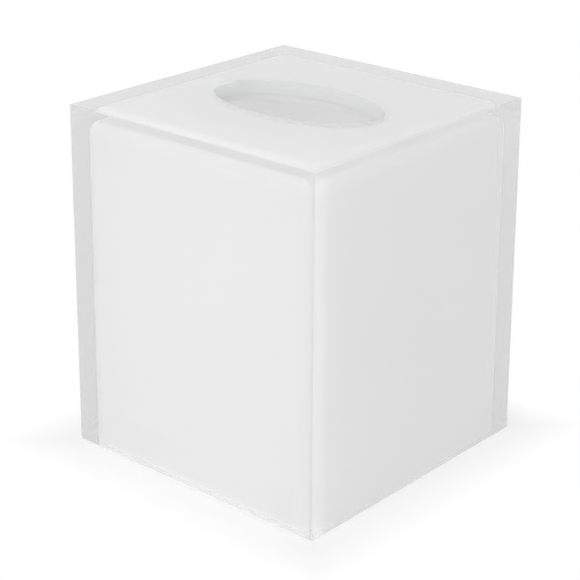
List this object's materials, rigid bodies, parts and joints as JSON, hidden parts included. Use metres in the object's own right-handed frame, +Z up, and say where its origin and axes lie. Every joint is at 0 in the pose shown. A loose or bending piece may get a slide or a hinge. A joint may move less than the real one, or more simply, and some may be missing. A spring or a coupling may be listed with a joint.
{
  "type": "tissue box cover",
  "caption": "Square cover for a cube tissue carton: clear acrylic casting with crisp edges round an opal white liner with rounded edges, oval mouth in the top, open underneath.",
  "frame": {"origin": "middle of the square base, on the surface that the cover stands on", "axes": "+Z up through the mouth, X along the oval mouth's long way, Y across it"},
  "size_m": [0.1396, 0.1396, 0.1587],
  "materials": {
    "clear_acrylic": "clear cast acrylic, all outer faces and edges polished",
    "white_acrylic": "opal white cast acrylic, smooth, lets some light through"
  },
  "bodies": {
    "root": {"outer_casting": "clear_acrylic", "inner_liner": "white_acrylic"}
  },
  "joints": []
}
